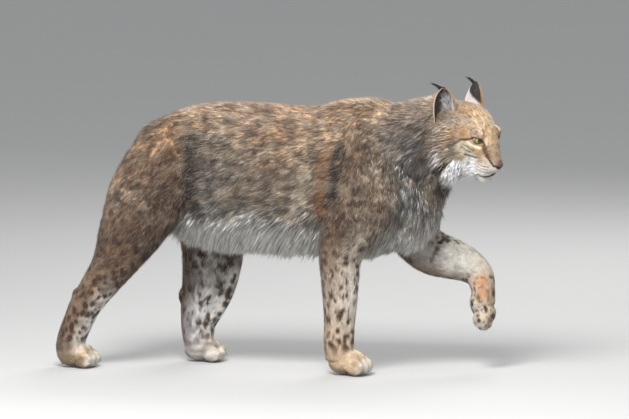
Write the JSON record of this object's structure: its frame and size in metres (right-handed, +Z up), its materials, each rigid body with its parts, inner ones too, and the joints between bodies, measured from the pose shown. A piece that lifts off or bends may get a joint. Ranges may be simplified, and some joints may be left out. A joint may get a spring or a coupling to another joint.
{
  "type": "eurasian lynx, life-size still model",
  "caption": "Life-size standing Eurasian lynx in mid stride, one forepaw lifted, with tufted ears, cheek ruff, short tail and broad paws.",
  "frame": {"origin": "middle of the bounding box's base, on the floor", "axes": "+X along the body towards the nose, +Y to the animal's left, +Z up"},
  "size_m": [1.1332, 0.3224, 0.735],
  "materials": {
    "coat": "dense ticked winter coat",
    "coat_head": "short dense fur",
    "coat_leg": "short spotted fur",
    "coat_ear": "short dark fur with a long tuft",
    "eyeball": "wet, glossy",
    "nose_skin": "damp bare skin"
  },
  "bodies": {
    "root": {"torso": "coat", "neck": "coat", "head": "coat_head", "ear_left": "coat_ear", "ear_right": "coat_ear", "eye_left": "eyeball", "eye_right": "eyeball", "nose": "nose_skin", "tail": "coat", "foreleg_right_upper": "coat_leg", "foreleg_right_lower": "coat_leg", "forepaw_right": "coat_leg", "foreleg_left_upper": "coat_leg", "foreleg_left_lower": "coat_leg", "forepaw_left": "coat_leg", "hindleg_right_upper": "coat_leg", "hindleg_right_lower": "coat_leg", "hindpaw_right": "coat_leg", "hindleg_left_upper": "coat_leg", "hindleg_left_lower": "coat_leg", "hindpaw_left": "coat_leg"}
  },
  "joints": []
}
